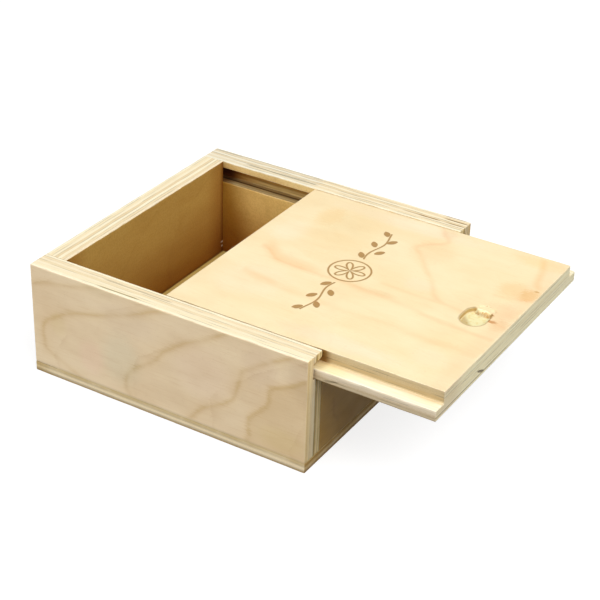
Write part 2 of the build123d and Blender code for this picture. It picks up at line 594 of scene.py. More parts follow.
    def growth_ring(self, along, place, course, width, tint, where, feather=1.0):
        """Stains one growth ring, whose course is a smooth curve through listed places, as (along, place).
        Gives how far past the ring each place lies."""
        nodes = self.nodes
        course = np.array(sorted(course), float)
        (first, lowest), (last, highest) = course.min(0), course.max(0)
        share = (course - (first, lowest)) / (last - first, highest - lowest)

        def at(spot):
            node = nodes.add("ShaderNodeFloatCurve")
            points = node.mapping.curves[0].points
            points[0].location, points[1].location = share[0], share[-1]
            for u, v in share[1:-1]:
                points.new(u, v)
            node.mapping.update()
            nodes.feed(node.inputs["Value"], (spot - first) / (last - first))
            return Field(nodes, node.outputs[0]) * (highest - lowest) + lowest

        beside = at(along)
        mask = nodes.use(ring_course, Place=place, Course=beside, Further_On=at(along + 1.0),
                         Fibre=self.rings["Fibre"], Feather=feather, Width=width)["Mask"]
        ends = along.between(first - 0.5, first + 1.5, last - 1.5, last + 0.5)
        patchy = nodes.noise(self.grain / 13, self.across / 7, first).ease(0.3, 0.6) * 0.5 + 0.5
        self.stain(mask * ends * patchy * where, tint)
        return place - beside

    def done(self):
        """Joins the colour, roughness and height to the shader, and gives the material."""
        nodes = self.nodes
        bump = nodes.shader("ShaderNodeBump", Strength=1.0, Distance=MM, Height=self.height)
        surface = nodes.shader("ShaderNodeBsdfPrincipled", Specular_IOR_Level=0.3, Base_Color=self.colour,
                               Roughness=self.roughness, Normal=bump)
        nodes.shader("ShaderNodeOutputMaterial", Surface=surface)
        return self.material


wall_face = {
    "light": (244, 222, 183), "dark": (234, 208, 167), "halo": (240, 232, 220),
    "ring": (222, 210, 184), "fibre": (246, 240, 230), "streak": (246, 239, 228),
    "pore": (222, 206, 182),
}
board_edge = {
    "light": (255, 247, 220), "dark": (248, 234, 204), "butt": (242, 230, 208),
    "centre": (224, 206, 176), "grain": (240, 232, 216), "glue": (150, 146, 130),
    "rubbed": (255, 248, 224), "flank": (255, 252, 246), "end": (228, 220, 206),
    "routed": (222, 192, 124), "routed grain": (176, 144, 86),
}
wall_strength = {
    "halo": 0.5, "ring": 0.9, "fibre": 0.4, "streak": 0.5, "pores": 0.35, "butt": 0.5, "centre": 0.25,
    "glue": 0.55,
}
wall_rings = {"Spacing": 35.0, "Wander": 9.0, "Feather": 4.0, "Line_Width": 1.7, "Halo": 4.0}
# The inner faces: a plainer figure, and a tint that is painted shade of the box's inside, darker on the end
# walls.
side_inner_face = {"tint": (253, 236, 177), "plain": 0.75}
end_inner_face = {"tint": (205, 179, 113), "plain": 0.75}

near_birch = Plywood(
    "near side wall birch", "XZY", (near_low[1], near_high[1]), 7, 1,
    {**wall_face, "light": (248, 225, 188), "dark": (239, 213, 174)},
    {**board_edge, "end": (241, 233, 218)},
    {"Axis": 9.0, "Bow": 0.03}, {**wall_rings, "Start": 20.0}, {**wall_strength, "butt": 0.35, "ring": 0.0},
    side_inner_face,
)
far_birch = Plywood(
    "far side wall birch", "XZY", (far_high[1], far_low[1]), 7, 2, wall_face, board_edge,
    {"Axis": 34.0, "Bow": 0.04}, {**wall_rings, "Start": 6.0}, {**wall_strength, "glue": 0.85}, side_inner_face,
)
back_birch = Plywood(
    "back wall birch", "YZX", (back_low[0], back_high[0]), 7, 3, wall_face, board_edge,
    {"Axis": 14.0, "Bow": 0.035}, {**wall_rings, "Start": 12.0}, wall_strength, end_inner_face,
)
# The front wall's colour is painted shade: far darker than the other boards, it stands in for the lid's shadow
# over it.
front_birch = Plywood(
    "front wall birch", "YZX", (front_high[0], front_low[0]), 7, 4,
    {**wall_face, "light": (171, 132, 58), "dark": (153, 116, 47)}, board_edge,
    {"Axis": 16.0, "Bow": 0.05}, {**wall_rings, "Start": -8.0}, {**wall_strength, "ring": 0.5}, end_inner_face,
)
# The base's end colour is painted shade: dark, it stands in for the lid's shade over its front edge.
base_birch = Plywood(
    "base panel birch", "XYZ", (base_low[2], base_high[2]), 3, 5, wall_face,
    {**board_edge, "light": (259, 249, 224), "dark": (254, 240, 210), "end": (200, 174, 118)},
    {"Axis": 12.0, "Bow": 0.03}, {**wall_rings, "Start": 5.0},
    {**wall_strength, "centre": 0.1, "butt": 0.2, "glue": 0.2},
)
lid_face = {
    "light": (250, 231, 188), "dark": (248, 224, 177), "halo": (252, 244, 232), "ring": (240, 222, 196),
    "fibre": (252, 246, 236), "streak": (251, 244, 232), "pore": (236, 220, 196),
}
lid_edge = {
    **board_edge, "light": (254, 250, 226), "dark": (248, 240, 212), "flank": (234, 222, 202),
    "end": (262, 259, 245), "routed": (253, 246, 218), "routed grain": (251, 236, 192),
}
lid_birch = Plywood(
    "lid birch", "XYZ", (lid_high[2], lid_low[2]), 7, 6, lid_face, lid_edge,
    {"Axis": 33.0, "Bow": 0.04}, {**wall_rings, "Start": 51.4, "Line_Width": 4.0, "Halo": 3.0},
    {**wall_strength, "ring": 0.0, "halo": 0.2, "fibre": 0.3, "streak": 0.3, "butt": 0.15, "glue": 0.6},
)
underside = lid_birch.level.ease(0.8, 0.95) * lid_birch.veneered
lid_birch.stain(underside * lid_birch.rings["Ring"] * 0.9, lid_face["ring"])

# Growth rings that run out over the near wall's face, each with its strength, as (height, place along)
near_face = near_birch.level.ease(0.3, 0.2) * near_birch.veneered
for strength, course in (
    (0.5, [(37.5, -60.0), (39, -57), (41, -50), (42, -44), (44, -36), (46.2, -29)]),
    (0.5, [(4, -38), (6.5, -43), (9.5, -50), (12, -54.3), (13.5, -55)]),
    (0.85, [(12, -54.3), (16, -55.2), (20, -55.3), (23.5, -54), (26.5, -50), (28.8, -46), (31.5, -40),
            (34.2, -30), (37.5, -20), (41.5, -10), (44, -5), (46.2, 1)]),
    (0.85, [(4, -14.7), (6.5, -16.5), (9, -17.2), (13, -16.5), (17, -13.5), (19.5, -10), (22.3, -6), (25, -3),
            (29, 0), (32, 4), (36.3, 10), (40.3, 18), (43.5, 23), (46.2, 27)]),
    (0.85, [(4, 10.5), (5.5, 12), (8, 14), (11.3, 17), (14.2, 22), (17.5, 27), (20.5, 30), (25, 31.5), (30, 33),
            (33, 34), (36, 38), (38.8, 42), (42.3, 48), (46.2, 55)]),
    (1.0, [(4, 34.2), (8, 36.5), (11, 36), (15, 37), (18.5, 40), (21.5, 43), (24, 44.5), (28, 44.8), (30.5, 46),
           (32.3, 50), (35, 55), (39, 60.2)]),
):
    past_ring = near_birch.growth_ring(near_birch.z, near_birch.x, course, 1.6, (238, 229, 208),
                                       near_face * strength, 4.0)

# Broad tones of that face: a browner end past the last ring, a paler middle, and cooler and warmer patches
near_birch.stain(past_ring.ease(-0.6, 1.4) * near_face, (246, 242, 233))
near_birch.stain_spots(near_face, 0.3, (
    (26.0, 17.0, 34.0, 30.0, (258, 258, 264)), (19.0, -19.0, 24.0, 30.0, (248, 253, 256)),
    (15.0, -33.0, 16.0, 20.0, (256, 251, 255)), (39.0, 59.5, 22.0, 28.0, (239, 235, 231)),
    (10.0, 50.0, 26.0, 14.0, (253, 253, 243)), (24.0, -48.0, 10.0, 14.0, (253, 253, 246)),
    (36.0, -16.0, 34.0, 18.0, (249, 248, 249)), (37.0, 41.0, 20.0, 22.0, (249, 247, 249)),
    (45.0, -28.0, 20.0, 8.0, (247, 246, 242)), (20.0, -54.0, 14.0, 32.0, (252, 250, 247)),
))


def darkened_seam(plywood, start, full, where, colour):
    """The board darkens towards the glue line between walls and base, more in some stretches."""
    broken = plywood.nodes.noise(plywood.x / 9, plywood.y / 9, 4.0).ease(0.25, 0.6)
    plywood.stain(plywood.z.ease(start, full) * (broken * 0.4 + 0.6) * where, colour)


for plywood in (near_birch, far_birch, back_birch, front_birch):
    darkened_seam(plywood, wall_foot + 1.4, wall_foot, 1.0, (231, 228, 221))


def inner_shade_and_mottle(plywood, top, bottom, colour):
    """Paints shade over the box's inside, darker towards its floor, over a fine mottling; gives the inner
    face's mask.
    """
    inner = plywood.level.ease(0.5, 0.6) * plywood.veneered
    plywood.stain(inner * plywood.z.ease(top, bottom), colour)
    plywood.stain(inner * plywood.wear["Grit"].ease(0.42, 0.62) * 0.6, (240, 235, 224))
    return inner


for plywood in (near_birch, far_birch):
    inner = inner_shade_and_mottle(plywood, 33.0, 0.0, (195, 148, 68))
    # Painted shade darkens the inner faces towards the back wall, less on the lip's face, and the lip's face is
    # painted lighter, as painted light.
    lip_face = plywood.z.ease(groove_roof - 0.4, groove_roof + 0.2)
    rear_shade = (plywood.x + plywood.z * 0.25).ease(-27.0, -42.0)
    plywood.stain(inner * rear_shade * (1 - lip_face * 0.5), (192, 168, 107))
    plywood.stain(inner * lip_face, (261, 271, 306))
inner = inner_shade_and_mottle(back_birch, 40.0, -2.0, (184, 140, 24))
# Painted shade in the back wall's inner corners, darkest beside the side walls.
back_birch.stain(inner * abs(back_birch.y).ease(38.0, 50.0), (231, 214, 194))
back_birch.stain(inner * abs(back_birch.y).ease(49.0, inner_y), (194, 169, 108))

# Two crumbs of dried glue in the far rear corner, and a greyed arris along the back wall's top
for height, length in ((8.6, 2.6), (6.6, 1.6)):
    glue_crumb = back_birch.spot(height, inner_y - 0.7, length, 1.3)
    back_birch.stain(glue_crumb * inner * 0.5, (240, 225, 205), "MIX")
top_arris = back_birch.z.ease(wall_top - 0.8, wall_top - 0.3)
rear_arris = top_arris * back_birch.x.ease(back_low[0] + 0.7, back_low[0] + 0.2)
back_birch.stain(rear_arris * back_birch.rings["Streak"].ease(0.35, 0.6), (206, 205, 196))


def groove_shade(plywood):
    """Painted shade in the groove: its floor is greyed and darker, with a dark line along it, and the wood
    behind darkens under the lip and towards the groove's closed rear end."""
    across, height = abs(plywood.y), plywood.z
    cut = plywood.level.ease(0.3, 0.4) * (1 - plywood.end_on)
    ledge = cut * (1 - plywood.flat_on) * height.between(
        groove_floor - 0.5, groove_floor - 0.2, groove_floor + 0.1, groove_floor + 0.3)
    behind = cut * plywood.flat_on * across.ease(groove_back - 1.0, groove_back - 0.5)
    wander = (plywood.nodes.noise(plywood.x / 15, 3.0, 2.0) - 0.5) * 0.4
    plywood.stain(ledge, (190, 176, 147))
    plywood.stain(ledge * across.ease(inner_y + 0.9, inner_y + 0.3), (225, 212, 186))
    plywood.stain(ledge * abs(across + wander - inner_y - 3.4).ease(0.7, 0.3), (138, 118, 70))
    plywood.stain(behind * height.ease(groove_floor + 1.2, groove_floor + 2.8), (210, 186, 146))
    plywood.stain(behind * plywood.x.ease(-30.0, -52.0), (215, 172, 96))
    plywood.stain((behind + ledge) * plywood.x.ease(-44.0, -50.5), (160, 125, 86))


def core_lines(plywood):
    """Dark core plies that show on a wall's end as wavering bands at two depths, and a browner inner half."""
    nodes = plywood.nodes
    off = plywood.level + (nodes.noise(plywood.z / 11, plywood.y / 30, 7.0) - 0.5) * 0.08
    for depth, half_width, strength in ((0.63, 0.10, 0.8), (0.86, 0.05, 0.3)):
        line = abs(off - depth).ease(half_width, half_width * 0.2)
        broken = nodes.noise(plywood.z / 7, depth * 50, 3.0).ease(0.3, 0.5) * 0.4 + 0.6
        plywood.stain(line * plywood.end_on * broken * strength, (176, 160, 116))
    plywood.stain(off.ease(0.52, 0.66) * plywood.end_on, (248, 243, 220))
    plywood.stain(off.ease(0.42, 0.20) * plywood.end_on * 0.8, (252, 240, 214))


for plywood in (near_birch, far_birch):
    groove_shade(plywood)
    core_lines(plywood)

# Darkened glue lines along the walls' tops, as (wall, place across, from, to, strength, colour)
brown_line, grey_line = (158, 128, 80), (176, 166, 140)
for plywood, across_place, start, end, strength, tint in (
    (far_birch, 60.8, 49.0, 58.0, 0.8, brown_line), (far_birch, 58.5, 50.0, 59.5, 1.0, brown_line),
    (far_birch, 55.8, 33.0, 42.0, 0.5, brown_line), (far_birch, 55.8, 40.0, 48.5, 1.0, brown_line),
    (far_birch, 55.9, 52.5, 59.0, 0.8, brown_line), (far_birch, 55.0, -40.0, -7.0, 1.0, grey_line),
    (far_birch, 60.4, -59.0, -8.0, 0.6, grey_line), (near_birch, -55.6, 46.0, 60.0, 0.2, brown_line),
    (near_birch, -59.8, -29.0, -12.0, 0.9, grey_line), (near_birch, -54.9, -30.0, -1.0, 0.6, grey_line),
):
    wander = (plywood.nodes.noise(plywood.x / 12, across_place, 5.0) - 0.5) * 0.5
    line = abs(plywood.y + wander - across_place).ease(0.5, 0.12)
    line = line * plywood.x.between(start - 2.0, start + 2.0, end - 1.5, end + 1.5)
    line = line * plywood.z.ease(wall_top - 0.9, wall_top - 0.4)
    plywood.stain(line * strength * (1 - plywood.end_on), tint)
far_top = far_birch.z.ease(wall_top - 0.9, wall_top - 0.4) * far_birch.x.ease(-4.0, -10.0)
far_birch.stain(far_top, (248, 252, 261))

base_edge = 1 - base_birch.veneered
darkened_seam(base_birch, 2.2, 3.1, base_edge, (212, 199, 172))
# The base's edge darkens towards the floor: its lower ply, and painted contact shade.
base_birch.stain(base_birch.z.ease(1.9, 0.5) * base_edge, (180, 162, 132))
base_birch.stain(base_birch.x.ease(-50.0, -59.0) * base_edge, (232, 223, 200))
# The box's floor is painted shade of the box's inside, and darker still along the back and far walls, as
# painted shade in those corners.
base_top = base_birch.z.ease(wall_foot - 0.5, wall_foot - 0.2) * base_birch.veneered
base_birch.stain(base_top, (216, 205, 146))
foot = base_birch.x.ease(back_high[0] + 0.8, back_high[0] + 0.3).most(
    base_birch.y.ease(inner_y - 0.8, inner_y - 0.3))
base_birch.stain(base_top * foot, (150, 122, 80))


def burnt_recipe(nodes, given):
    """A six-petalled rosette between two leafy sprigs, as the distance to its lines set against their width.

    Petals: r = P |cos 3a|.  Ring: r = R.  Sprig: a wavy stem t = 0.9 sin(s / 3.2), with leaves a spacing apart
    on alternate sides, each the filled lens |v| < 0.9 (1 - u^2 / 4.8), where u, v are turned by 35 degrees.
    """
    petal_length, ring_radius = 6.2, 8.0
    sprig_start, sprig_end, leaf_spacing = 10.5, 34.0, 5.0
    beyond = 9                 # what is added to the distance 1 mm past the end of a line
    s, t = abs(given["Along"]), given["Beside"]
    radius = (given["Along"] * given["Along"] + t * t).root()
    angle = given["Along"].do("ARCTAN2", t)
    petal = abs(radius - abs((angle * 3).cosine()) * petal_length)
    # lines near the petals' tips are steep, so their width is evened out by the slope of the curve
    slope = (((angle * 3).sine() * (3 * petal_length) / radius.most(1.0)) ** 2.0 + 1.0).root()
    rosette = (petal / slope).least(abs(radius - ring_radius)) + (radius - (ring_radius + 1)).clip() * beyond
    stem = abs(t - (s / 3.2).sine() * 0.9) + (sprig_start - s).clip() * beyond + (s - sprig_end).clip() * beyond
    cell = (s - sprig_start) / leaf_spacing
    side = (cell.floor() / 2).fract() * 4 - 1
    c, o = (cell.fract() - 0.5) * leaf_spacing, t * side - leaf_spacing / 2
    u, v = c * 0.82 + o * 0.57, o * 0.82 - c * 0.57
    lens = (abs(v) - 0.9 * (1 - u * u / 4.8)).most(0.0) + (abs(u) - 2.2).clip() * beyond
    leaf = lens + (sprig_start + 0.5 - s).clip() * beyond + (s - (sprig_end + 0.5)).clip() * beyond
    distance = rosette.least(stem).least(leaf)
    edge = nodes.noise(given["Along"] / 0.5, t / 0.5, 3.0, 2.0) * 0.12
    return (distance + edge).ease(0.62, 0.22),


burnt_lines = shader_group("burnt ornament", {"Along": 0, "Beside": 0}, ["Mask"], burnt_recipe)

ornament_x, ornament_y = 40.0, 1.0
lid_x, lid_y = lid_birch.x, lid_birch.y
face_up = lid_birch.z.ease(wall_top - 0.6, wall_top - 0.3)
burn = lid_birch.nodes.use(burnt_lines, Along=lid_y - ornament_y, Beside=lid_x - ornament_x)["Mask"] * face_up
lid_birch.stain(burn * 0.9, (168, 124, 60), "MIX")
lid_birch.height -= burn * 0.12

# The thumb recess: bruised rim; pale floor, lifted past white as painted light against the recess's shade;
# walls darker from their end grain and painted shade; and torn wood under the shelf
rough_wood = lid_birch.nodes.noise(lid_x / 1.4, lid_y / 1.1, 6.0).ease(0.5, 0.66)
for label, strength, tint in (
    ("rim", 0.9, (186, 158, 104)), ("hollow", 1.0, (263, 260, 211)), ("cheek", 1.0, (200, 168, 108)),
    ("torn", 0.8 + rough_wood * 0.2, (208, 154, 62)),
):
    lid_birch.stain(lid_birch.nodes.mark(label) * strength, tint, "MIX")
lid_birch.stain(lid_birch.nodes.mark("hollow") * rough_wood, (252, 243, 222))

# Growth rings on the lid: limbs along the grain as (along, across), then the sides of a nose as (across, along)
faint_ring, clear_ring = (254, 246, 240), (253, 242, 235)
for course, width, tint in (
    ([(6, -19.3), (10, -20.5), (18, -22), (28, -24), (40, -24.5), (60, -25), (70, -24.5), (80, -25.5),
      (92, -26), (106, -25.5)], 3.0, (254, 245, 238)),
    ([(53, -0.2), (62, -0.8), (70, -1.2), (78, -1.2), (84, -1.5), (90, -2.2), (100, -3), (106, -4)], 1.5,
     faint_ring),
    ([(91, 15.5), (95, 15.2), (99.4, 16.4), (106, 19.5)], 1.4, faint_ring),
    ([(2, 0), (6, -2), (10, -5), (14, -7.3), (20, -8), (30, -8), (40, -7.5), (48, -8), (55, -8.7), (65, -9.3),
      (72, -10.2), (80, -12), (90, -13), (106, -13.5)], 1.9, clear_ring),
):
    above_ring = lid_birch.growth_ring(lid_x, lid_y, course, width, tint, face_up, 0.6)
browned = above_ring.between(-0.8, 0.8, 2.0, 8.0) * lid_x.between(1.0, 7.0, 24.0, 36.0)
lid_birch.stain(browned * face_up, (252, 239, 228))
for course, width, tint in (
    ([(-1.4, 82), (0, 78), (3, 74), (8, 71), (13, 67), (19, 62), (25, 57.5), (29, 53.5), (31.5, 51.8), (34, 53),
      (37, 56), (41, 60), (43, 59.5), (47, 56), (52, 53)], 1.8, clear_ring),
    ([(27, 104.5), (32, 101.5), (36, 100.5), (41, 99.5), (44, 98.5), (50, 96.5)], 2.2, (252, 240, 228)),
):
    lid_birch.growth_ring(lid_y, lid_x, course, width, tint, face_up, 1.5)
lid_birch.stain(lid_x.ease(96.0, 103.0) * face_up, (253, 248, 248))

# Brown marks about the recess and the front corner, then broad browner and paler tones of the face
beside_recess, past_recess = recess_centre[1], recess_centre[0]
lid_birch.stain_spots(face_up * 0.8, 0.9, (
    (22.0, 96.5, 15.0, 17.0, (250, 241, 229)), (21.5, 103.0, 9.0, 13.0, (246, 229, 203)),
    (25.8, 104.0, 2.8, 1.8, (222, 198, 156)), (46.5, 98.0, 30.0, 12.0, (254, 248, 236)),
    (47.5, 57.5, 9.0, 9.0, (251, 243, 237)), (-22.0, 16.0, 18.0, 7.0, (254, 250, 245)),
    (28.0, 24.0, 40.0, 50.0, (253, 250, 243)),
    (beside_recess - 0.3, past_recess + 5.9, 6.0, 2.6, (210, 166, 116)),
    (beside_recess + 3.9, past_recess + 4.2, 3.0, 1.4, (200, 154, 86)),
    (-3.5, 103.0, 10.0, 12.0, (247, 237, 227)), (5.0, 99.0, 20.0, 18.0, (250, 239, 233)),
    (34.0, 12.0, 14.0, 21.0, (253, 244, 230)), (4.5, 27.0, 24.0, 12.0, (254, 248, 241)),
    (-7.0, 58.0, 16.0, 5.0, (249, 243, 236)), (31.0, 59.0, 26.0, 22.0, (251, 245, 239)),
    (-30.0, 65.0, 38.0, 18.0, (253, 248, 242)), (46.0, 42.0, 86.0, 13.0, (255, 258, 270)),
    (16.0, 5.0, 18.0, 24.0, (255, 260, 270)), (-25.0, 13.0, 40.0, 32.0, (255, 259, 269)),
    (-45.0, 62.0, 64.0, 13.0, (255, 258, 271)), (-36.0, 93.0, 20.0, 14.0, (255, 259, 268)),
    (6.0, 66.0, 16.0, 12.0, (255, 258, 268)),
))

# The lid's flanks: darker towards the underside, most at its bottom arris, which is painted shade; one brown
# ply in the rebate; and a painted shadow where the wall's end falls across the rebate
flank = (1 - lid_birch.end_on) * (1 - lid_birch.veneered)
rebate = lid_birch.level.ease(0.56, 0.50)
brown_ply = abs(lid_birch.level - 0.36).ease(0.09, 0.03) * 0.5
wall_end_shadow = rebate * lid_x.between(55.0, 60.0, 60.4, 64.0) * lid_y.ease(-50.0, -51.0)
for mask, tint in (
    (lid_birch.level.ease(0.50, 0.44), (231, 225, 217)), (lid_birch.level.ease(0.52, 0.60), (257, 258, 276)),
    (lid_birch.level.ease(0.72, 0.84), (233, 228, 215)), (lid_birch.level.ease(0.93, 0.99), (206, 190, 164)),
    (brown_ply, (236, 222, 194)), (wall_end_shadow, (178, 146, 94)),
):
    lid_birch.stain(flank * mask, tint)

# The tongues' tops: painted shade in the corner of the rebate, and yellower in their middle
tongue = lid_birch.flat_on * abs(lid_y).ease(panel_half_width - 0.2, panel_half_width + 0.1)
lid_birch.stain(tongue * abs(lid_y).ease(53.6, 51.5), (234, 222, 208))
lid_birch.stain(tongue * lid_x.ease(76.0, 66.0), (252, 246, 226))

# The front end: greyer towards its near corner, with one thin dark ply near the underside
lid_end = lid_birch.end_on * lid_x.ease(lid_high[0] - 1.0, lid_high[0] - 0.5)
lid_birch.stain(lid_end * lid_y.ease(-34.0, -46.0), (239, 233, 231))
thin_ply_height = 38.5
thin_ply = abs(lid_birch.z - thin_ply_height + lid_y * 0.003).ease(0.40, 0.12) * lid_y.ease(1.0, -6.0)
lid_birch.stain(lid_end * thin_ply * 0.8, (176, 164, 138))


def broken_ply(along, place, height, half_length, half_height, slope):
    """A void where a core ply is broken away: 1 at the edge of a sloping oval, and less inside it."""
    off = along - place
    return (off / half_length) ** 2.0 + ((lid_birch.z - height - off * slope) / half_height) ** 2.0


# One at the lid's front end, and another along its near tongue
front_void = broken_ply(lid_y, -23.8, 39.5, 2.6, 0.5, -0.40).ease(1.3, 0.6) * lid_end
near_flank = flank * lid_y.ease(-56.0, -56.6)
tongue_void = broken_ply(lid_x, 66.5, 38.3, 3.0, 0.36, 0.20).ease(1.4, 0.4) * near_flank * 0.5
voids = front_void.most(tongue_void)
lid_birch.stain(voids * 0.85, (104, 88, 62), "MIX")
lid_birch.height -= voids * 0.5

# ---- The boards ------------------------------------------------------------------------------------

# Roundings: sanded arrises outside and inside, edges left as cut, and edges glued shut
outer_arris, inner_arris, cut_arris, glued_arris = 0.4, 0.35, 0.25, 0.15
base_top_arris, ledge_arris, far_lip_arris, near_lip_arris = 0.2, 0.5, 0.5, 1.0
side_end_ease, base_end_ease, butted_end_ease = 0.4, 0.3, 0.12


def plain_board(node, axis, low, high, radii, ease, material, seed, **finish):
    """A board with a rectangular section, whose corners go round against the clock from the lowest."""
    run = "XYZ".index(axis)
    a, b = (k for k in range(3) if k != run)
    corners = [(low[a], low[b]), (high[a], low[b]), (high[a], high[b]), (low[a], high[b])]
    carried_board(node, axis, corners, radii, (low[run], high[run]), ease, material, seed, **finish)


def side_wall(node, side, lip_arris, ends, material, seed):
    """A grooved wall on the far side (1) or, mirrored, on the near side (-1).

    The section goes round from the inner foot by the outer foot and top, the lip and the groove to its ledge.
    """
    corners = [
        (side * inner_y, wall_foot), (side * outer_y, wall_foot),
        (side * outer_y, wall_top), (side * inner_y, wall_top),
        (side * inner_y, groove_roof), (side * groove_back, groove_roof),
        (side * groove_back, groove_floor), (side * inner_y, groove_floor),
    ][::side]
    radii = [glued_arris, cut_arris, outer_arris, inner_arris, lip_arris, cut_arris, cut_arris, ledge_arris]
    carried_board(node, "X", corners, radii[::side], ends, side_end_ease, material, seed)


plain_board("base_panel", "X", base_low, base_high, [outer_arris, outer_arris, base_top_arris, base_top_arris],
            base_end_ease, base_birch.done(), 1, slot="plywood_base")
side_wall("far_side_wall", 1, far_lip_arris, (far_low[0], far_high[0]), far_birch.done(), 2)
side_wall("near_side_wall", -1, near_lip_arris, (near_low[0], near_high[0]), near_birch.done(), 3)
plain_board("back_wall", "Y", back_low, back_high, [glued_arris, glued_arris, inner_arris, outer_arris],
            butted_end_ease, back_birch.done(), 4)
plain_board("front_wall", "Y", front_low, front_high, [glued_arris, cut_arris, outer_arris, inner_arris],
            butted_end_ease, front_birch.done(), 5)


def obround(angle, radius):
    """The point of a slot's outline in each direction from its middle.

    The slot is as wide as 2 radius along X, with half circles about (0, +-c) at its ends, where c is the
    recess's half length less its half width.  A ray meets the straight side where |radius tan a| < c, and
    else the half circle, at the distance c |sin a| + sqrt(radius^2 - c^2 cos^2 a).
    """
    c = recess_half_length - recess_half_width
    cosine, sine = np.cos(angle), np.sin(angle)
    on_side = np.abs(radius * sine) < c * np.abs(cosine)
    reach_side = radius / np.maximum(np.abs(cosine), 1e-6)
    reach_end = c * np.abs(sine) + np.sqrt(np.maximum(radius**2 - (c * cosine) ** 2, 0))
    reach = np.where(on_side, reach_side, reach_end)
    return np.stack([reach * cosine, reach * sine], -1)


def blob(x, y, seed):
    """Small unevenness over a plane: half the sum of two wavers at right angles to each other and of a
    shorter pair turned by 40 degrees."""
    u, v = 0.77 * x + 0.64 * y, 0.77 * y - 0.64 * x
    waves = ((x, 2.2), (y, 2.2), (u, 1.4), (v, 1.4))
    return 0.5 * sum(waver(place, wavelength, seed + k) for k, (place, wavelength) in enumerate(waves))


def recess_rings(around):
    """The recess as closed rings of points about its centre, with the height of each above the lid's top.

    From the border of the grid round it come flat rings, the rim's quarter circle, the wall, the floor's
    fillet, and the floor drawn in to its middle.  At angle t the rim, of radius e, stands e (1 - sin t) outside
    the wall and e (1 - cos t) deep, and the fillet, of radius f, stands f (1 - cos t) inside the wall and
    f (1 - sin t) above the floor.  Gives the rings, their heights and the rim's outline.
    """
    flat_steps, rim_steps, wall_steps, fillet_steps, floor_steps = 15, 5, 4, 6, 9
    angle = np.arctan2(around[:, 1], around[:, 0])
    rim = obround(angle, recess_half_width + recess_rim)
    layers = [(around * (1 - share) + rim * share, 0.0) for share in np.linspace(0, 1, flat_steps)[1:-1]]
    for t in np.linspace(0, np.pi / 2, rim_steps):
        layers.append((obround(angle, recess_half_width + recess_rim * (1 - np.sin(t))),
                       -recess_rim * (1 - np.cos(t))))
    for drop in np.linspace(recess_rim, recess_depth - recess_fillet, wall_steps)[1:]:
        layers.append((obround(angle, recess_half_width), -drop))
    for t in np.linspace(0, np.pi / 2, fillet_steps)[1:]:
        layers.append((obround(angle, recess_half_width - recess_fillet * (1 - np.cos(t))),
                       -recess_depth + recess_fillet * (1 - np.sin(t))))
    floor_edge = obround(angle, recess_half_width - recess_fillet)
    layers += [(floor_edge * share, -recess_depth) for share in np.linspace(1, 0, floor_steps)[1:-1]]
    plan = np.stack([layer[0] for layer in layers])
    height = np.stack([np.full(len(around), layer[1]) for layer in layers])
    return plan, height, rim


def torn_out(plan, height, rim):
    """The recess's heights with the face veneer torn out past its far end, and the marks that its wood takes.

    The tear is a low shelf inside an oval with a ragged edge: it lies where the distance from the oval's
    middle, over the oval's reach in that direction, is under shelf_edge.
    """
    shelf_x, shelf_y, shelf_depth, shelf_edge = 0.9, 6.7, 0.50, 1.06
    reach_x, reach_y = 3.6, 2.3
    x, y = plan[..., 0], plan[..., 1]
    floor = np.clip(-height / recess_depth, 0, 1)
    height = height + 0.06 * floor * blob(x, y, 71)
    ragged = 0.35 * waver(x * 3.0 + y, 3.0, 81) + 0.25 * waver(x * 7.0, 3.0, 82)
    oval = np.hypot((x - shelf_x) / reach_x, (y - shelf_y) / reach_y) + 0.22 * ragged
    shelf = np.clip((shelf_edge - oval) / 0.12, 0, 1)
    shelf_height = -shelf_depth + 0.08 * blob(x * 0.6, y * 2, 91)
    height = np.where(shelf > 0, height * (1 - shelf) + shelf_height * shelf, height)

    worn = np.clip(1 - np.abs(np.hypot(x, y) - recess_half_width - 0.3) / 0.8, 0, 1) * 0.4 * (height > -0.4)
    # bare wood shows on the shelf's near half and on the step down from it
    torn = shelf * np.clip((5.4 + 0.5 * ragged - y) / 0.8, 0, 1)
    torn = np.maximum(torn, np.clip(1 - np.abs(oval - 1.14) / 0.24, 0, 1) * (y < 5.3) * (floor > 0.2))
    # the rim is bruised brown, more widely so on the side towards the box and the near wall
    bruised = 0.4 + 0.3 * np.clip(-(0.8 * y + 0.6 * x) / recess_half_length + 0.3, 0, 1)
    off_rim = np.abs(np.linalg.norm(plan, axis=-1) - np.linalg.norm(rim, axis=-1)[None])
    rim_line = np.clip(1 - off_rim / bruised, 0, 1) * (floor < 0.5) * (1 - shelf)
    bottom = np.clip(floor * 4 - 3, 0, 1)
    hollow = bottom * (1 - torn)
    cheek = np.clip(floor * 8 - 0.6, 0, 1) * (1 - bottom) * (1 - torn) * (1 - shelf)
    # the floor takes painted shade too in the corner towards the box and the near wall
    corner_shade = np.clip((-(0.75 * x + 0.65 * y) - 2.2) / 1.2, 0, 1)
    cheek = np.maximum(cheek, 0.6 * corner_shade * hollow)
    return height, {"arris": worn, "torn": torn, "hollow": hollow, "cheek": cheek, "rim": rim_line}


